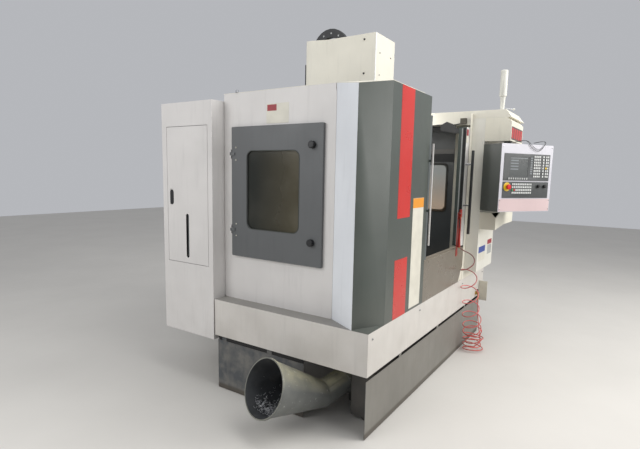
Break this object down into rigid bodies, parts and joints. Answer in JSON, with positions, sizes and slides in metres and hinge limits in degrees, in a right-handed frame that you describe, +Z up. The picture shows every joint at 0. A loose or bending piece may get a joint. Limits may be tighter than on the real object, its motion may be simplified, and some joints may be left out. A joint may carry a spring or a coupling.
{
  "type": "vertical machining centre",
  "caption": "Enclosed vertical milling machine: sliding front doors, hinged side window, tall head cover, swivelling control pendant, chip screw with spout and an air gun on a coiled hose.",
  "frame": {"origin": "on the floor, midway between the four anchor bolt holes of the machine bed", "axes": "+Z up, front towards -Y, +X to the operator's right"},
  "size_m": [2.7841, 2.6717, 2.646],
  "materials": {
    "grey_cover": "satin",
    "dark_apron": "satin",
    "white_band": "satin",
    "white_panel": "satin",
    "bevel_white": "textured satin",
    "hatch_grey": "satin",
    "door_grey": "satin",
    "base_dark": "satin",
    "galvanised": "galvanised",
    "cast_green": "painted casting",
    "ground_steel": "ground",
    "dark_steel": "oiled",
    "motor_black": "satin",
    "pane": "tinted polycarbonate",
    "handle_white": "satin",
    "handle_grey": "anodised",
    "knob_black": "moulded",
    "pvc": "extruded",
    "pendant_dark": "fine texture",
    "face_silver": "satin",
    "unit_dark": "moulded",
    "stop_red": "gloss",
    "tower_white": "moulded",
    "gun_red": "moulded",
    "brass_fit": "turned",
    "hose_red": "polyurethane",
    "chain_black": "moulded"
  },
  "bodies": {
    "enclosure_and_frame": {"base_casting": "cast_green", "levelling_feet": "dark_steel", "column_casting": "cast_green", "guide_rails": "ground_steel", "servo_motors": "motor_black", "lower_enclosure": "white_band", "chip_spout": "pvc", "auger_trough": "galvanised", "base_panels": "base_dark", "coolant_tank": "galvanised", "front_left_cover": "grey_cover", "front_right_cover": "white_panel", "left_corner_bevel": "bevel_white", "left_side_panel": "white_panel", "right_side_panel": "white_panel", "right_window_pane": "pane", "rear_wall": "white_panel", "roof_panels": "grey_cover", "front_apron": "dark_apron", "service_cabinet": "white_panel", "electric_cabinet": "white_panel", "drag_chain": "chain_black", "pendant_pillar": "white_panel", "pendant_arm": "white_panel", "pendant_bracket": "white_panel", "signal_tower": "tower_white", "air_gun": "gun_red", "air_coupler": "brass_fit", "recoil_hose": "hose_red", "hose_heap": "hose_red", "hose_tail": "hose_red"},
    "left_door_body": {"left_door": "door_grey", "left_door_pane": "pane", "left_door_handle": "handle_white"},
    "right_door_body": {"right_door": "door_grey", "right_door_pane": "pane", "right_door_handle": "handle_grey"},
    "side_window": {"side_window_panel": "hatch_grey", "side_window_pane": "pane"},
    "upper_knob": {"upper_window_knob": "knob_black"},
    "lower_knob": {"lower_window_knob": "knob_black"},
    "service_door_body": {"service_door": "white_panel"},
    "electric_door_body": {"electric_door": "white_panel"},
    "saddle_body": {"saddle": "cast_green"},
    "x_screw_body": {"x_screw": "ground_steel"},
    "table_body": {"table": "ground_steel"},
    "head_body": {"head_casting": "cast_green", "head_cover": "white_panel", "spindle_motor": "motor_black"},
    "spindle_body": {"spindle": "ground_steel"},
    "y_screw_body": {"y_screw": "ground_steel"},
    "z_screw_body": {"z_screw": "ground_steel"},
    "auger_body": {"auger": "dark_steel"},
    "pendant_body": {"pendant_box": "pendant_dark", "control_face": "face_silver", "control_unit": "unit_dark"},
    "stop_button": {"emergency_stop": "stop_red"},
    "feed_override": {"feed_knob": "knob_black"},
    "rapid_override": {"rapid_knob": "knob_black"},
    "trigger": {"gun_trigger": "knob_black"}
  },
  "joints": [
    {"name": "left_door_slide", "type": "slide", "parent": "enclosure_and_frame", "child": "left_door_body", "axis": [1, 0, 0], "range_m": [0, 0.384]},
    {"name": "right_door_slide", "type": "slide", "parent": "enclosure_and_frame", "child": "right_door_body", "axis": [-1, 0, 0], "range_m": [0, 0.384]},
    {"name": "side_window_hinge", "type": "hinge", "parent": "enclosure_and_frame", "child": "side_window", "pos_m": [-1.1155, 0.085, 1.37], "axis": [0, 0, -1], "range_deg": [0, 90]},
    {"name": "upper_knob_turn", "type": "hinge", "parent": "side_window", "child": "upper_knob", "pos_m": [-1.1, -0.571, 1.669], "axis": [-1, 0, 0], "range_deg": [0, 90]},
    {"name": "lower_knob_turn", "type": "hinge", "parent": "side_window", "child": "lower_knob", "pos_m": [-1.1, -0.571, 1.09], "axis": [-1, 0, 0], "range_deg": [0, 90]},
    {"name": "service_door_hinge", "type": "hinge", "parent": "enclosure_and_frame", "child": "service_door_body", "pos_m": [-1.194, 0.222, 1.33], "axis": [0, 0, 1], "range_deg": [0, 90]},
    {"name": "electric_door_hinge", "type": "hinge", "parent": "enclosure_and_frame", "child": "electric_door_body", "pos_m": [-0.489, 1.034, 1.2], "axis": [0, 0, 1], "range_deg": [0, 110]},
    {"name": "saddle_slide", "type": "slide", "parent": "enclosure_and_frame", "child": "saddle_body", "axis": [0, 1, 0], "range_m": [-0.2, 0.2]},
    {"name": "table_slide", "type": "slide", "parent": "saddle_body", "child": "table_body", "axis": [1, 0, 0], "range_m": [-0.3, 0.3]},
    {"name": "head_slide", "type": "slide", "parent": "enclosure_and_frame", "child": "head_body", "axis": [0, 0, 1], "range_m": [-0.5, 0], "deforming": ["drag_chain"]},
    {"name": "x_screw_turn", "type": "hinge", "parent": "saddle_body", "child": "x_screw_body", "pos_m": [0, -0.26, 0.745], "axis": [1, 0, 0], "range_deg": [-10900, 10900]},
    {"name": "y_screw_turn", "type": "hinge", "parent": "enclosure_and_frame", "child": "y_screw_body", "pos_m": [0, -0.2, 0.605], "axis": [0, 1, 0], "range_deg": [-7300, 7300]},
    {"name": "z_screw_turn", "type": "hinge", "parent": "enclosure_and_frame", "child": "z_screw_body", "pos_m": [0, 0.185, 1.7], "axis": [0, 0, 1], "range_deg": [-18100, 100]},
    {"name": "spindle_turn", "type": "hinge", "parent": "head_body", "child": "spindle_body", "pos_m": [0, -0.26, 1.7], "axis": [0, 0, 1], "continuous": true},
    {"name": "auger_turn", "type": "hinge", "parent": "enclosure_and_frame", "child": "auger_body", "pos_m": [0, -0.715, 0.2], "axis": [1, 0, 0], "continuous": true},
    {"name": "pendant_swivel", "type": "hinge", "parent": "enclosure_and_frame", "child": "pendant_body", "pos_m": [0.66, -1.275, 1.78], "axis": [0, 0, 1], "range_deg": [-7, 53]},
    {"name": "stop_push", "type": "slide", "parent": "pendant_body", "child": "stop_button", "axis": [0.5446, 0.8387, 0], "range_m": [0, 0.006]},
    {"name": "feed_knob_turn", "type": "hinge", "parent": "pendant_body", "child": "feed_override", "pos_m": [0.69955, -1.51889, 1.437], "axis": [-0.5446, -0.8387, 0], "range_deg": [-135, 135]},
    {"name": "rapid_knob_turn", "type": "hinge", "parent": "pendant_body", "child": "rapid_override", "pos_m": [0.7549, -1.55483, 1.437], "axis": [-0.5446, -0.8387, 0], "range_deg": [-60, 60]},
    {"name": "trigger_press", "type": "hinge", "parent": "enclosure_and_frame", "child": "trigger", "pos_m": [0.271, -1.038, 1.176], "axis": [0, -1, 0], "range_deg": [0, 5], "stiffness_Nm_per_rad": 0.5}
  ],
  "couplings": [
    {"joint": "x_screw_turn", "follows": "table_slide", "rad_per_m": 628.32},
    {"joint": "y_screw_turn", "follows": "saddle_slide", "rad_per_m": 628.32},
    {"joint": "z_screw_turn", "follows": "head_slide", "rad_per_m": 628.32}
  ]
}
